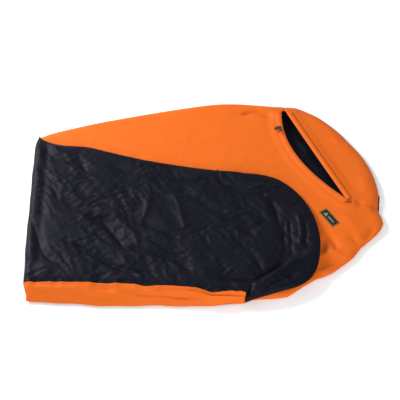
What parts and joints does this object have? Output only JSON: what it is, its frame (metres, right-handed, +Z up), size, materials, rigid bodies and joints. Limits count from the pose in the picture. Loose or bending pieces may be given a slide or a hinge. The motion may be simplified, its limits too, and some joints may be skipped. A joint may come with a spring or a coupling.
{
  "type": "bivy sack",
  "caption": "Waterproof sleeping-bag cover laid flat and folded in half at the waist, with an orange top, a black floor and a hood whose face opening closes with a drawcord and cord lock.",
  "frame": {"origin": "middle of the folded sack's footprint, on the surface it lies on", "axes": "+X from the waist fold towards the hood, +Y towards the side with the face opening, +Z up"},
  "size_m": [1.1554, 0.875, 0.0566],
  "materials": {
    "orange_shell": "waterproof breathable ripstop nylon, soft sheen",
    "black_floor": "coated nylon taffeta, slight sheen",
    "seam_tape": "translucent grey seam tape",
    "thread": "polyester thread",
    "cord": "braided polyester cord",
    "eyelet_metal": "gunmetal plated",
    "lock_plastic": "moulded acetal, satin",
    "spring_steel": "drawn wire",
    "label_weave": "damask woven label"
  },
  "bodies": {
    "head_half": {"head_floor": "black_floor", "head_upper": "orange_shell", "hood": "orange_shell", "hood_seam": "orange_shell", "head_seam_tape": "seam_tape", "face_hem": "orange_shell", "bar_tacks": "thread", "cord_eyelet": "eyelet_metal", "drawcord": "cord", "drawcord_tail": "cord", "tail_knot": "cord", "label": "label_weave"},
    "foot_half": {"foot_floor": "black_floor", "foot_upper": "orange_shell", "foot_cap": "black_floor", "foot_seam_tape": "seam_tape", "cap_seam_tape": "seam_tape"},
    "cord_lock": {"lock_barrel": "lock_plastic", "lock_spring": "spring_steel"},
    "lock_button": {"lock_plunger": "lock_plastic"}
  },
  "joints": [
    {"name": "waist_fold", "type": "hinge", "parent": "head_half", "child": "foot_half", "pos_m": [-0.57798, 0, 0.0283], "axis": [0, -1, 0], "range_deg": [0, 180]},
    {"name": "lock_slide", "type": "slide", "parent": "head_half", "child": "cord_lock", "axis": [0.1191, -0.9929, 0], "range_m": [0, 0.008]},
    {"name": "plunger_press", "type": "slide", "parent": "cord_lock", "child": "lock_button", "axis": [0.9929, 0.1191, 0], "range_m": [0, 0.0032], "stiffness_N_per_m": 500, "springref_m": -0.002, "deforming": ["lock_spring"]}
  ]
}
